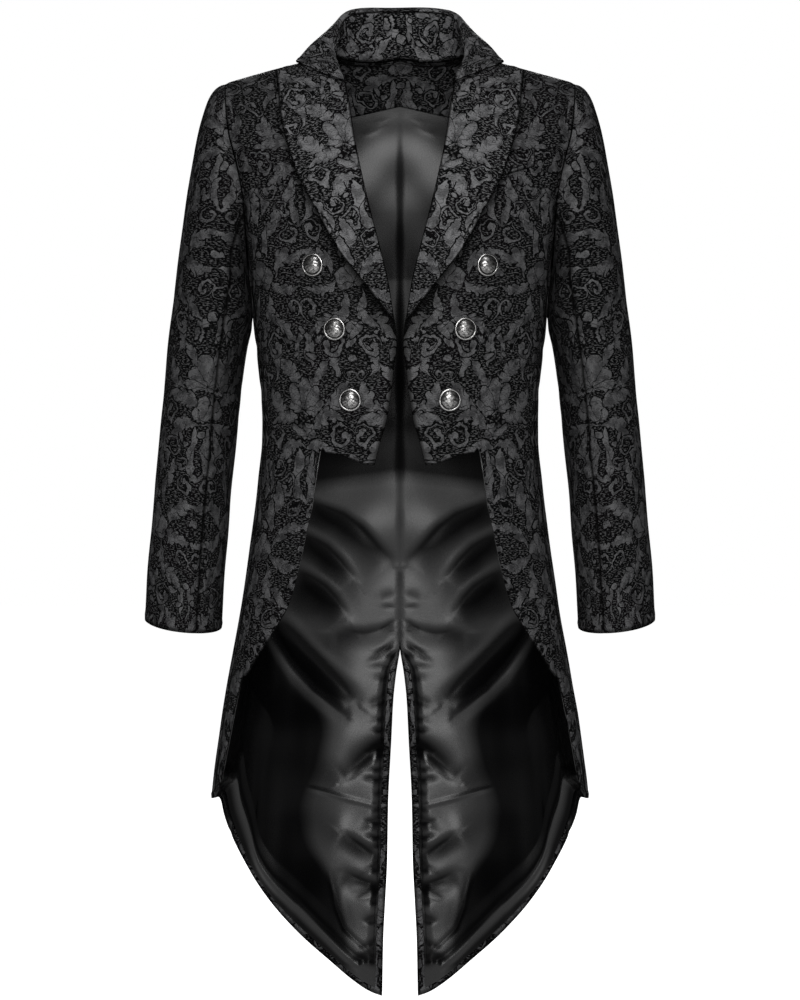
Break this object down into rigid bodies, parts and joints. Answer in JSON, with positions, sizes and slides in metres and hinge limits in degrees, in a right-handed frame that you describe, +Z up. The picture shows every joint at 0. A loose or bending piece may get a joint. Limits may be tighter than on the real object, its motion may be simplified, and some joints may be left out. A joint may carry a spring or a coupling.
{
  "type": "steampunk tailcoat",
  "caption": "Black jacquard tailcoat with a turned-down collar, wide lapels, domed metal buttons, a cut-away front and long satin-lined tails, hollow as when worn.",
  "frame": {"origin": "middle of the neck, level with the shoulders, where the wearer carries the coat", "axes": "+X towards the wearer's left, -Y towards the front, +Z up"},
  "size_m": [0.6094, 0.2486, 1.2231],
  "materials": {
    "black_jacquard": "black figured jacquard, satin motifs on a dull crepe ground",
    "black_satin": "black satin lining",
    "antique_silver": "antique silver, worn and slightly dark in the hollows"
  },
  "bodies": {
    "root": {"back_left": "black_jacquard", "back_right": "black_jacquard", "breast_welt": "black_jacquard", "button_left_1": "antique_silver", "button_left_2": "antique_silver", "button_left_3": "antique_silver", "button_right_1": "antique_silver", "button_right_2": "antique_silver", "button_right_3": "antique_silver", "collar_leaf": "black_jacquard", "collar_stand": "black_jacquard", "front_left": "black_jacquard", "front_right": "black_jacquard", "lapel_left": "black_jacquard", "lapel_right": "black_jacquard", "lining_left": "black_satin", "lining_right": "black_satin", "neck_facing": "black_jacquard", "side_left": "black_jacquard", "side_right": "black_jacquard", "top_sleeve_left": "black_jacquard", "top_sleeve_right": "black_jacquard", "under_sleeve_left": "black_jacquard", "under_sleeve_right": "black_jacquard"}
  },
  "joints": []
}
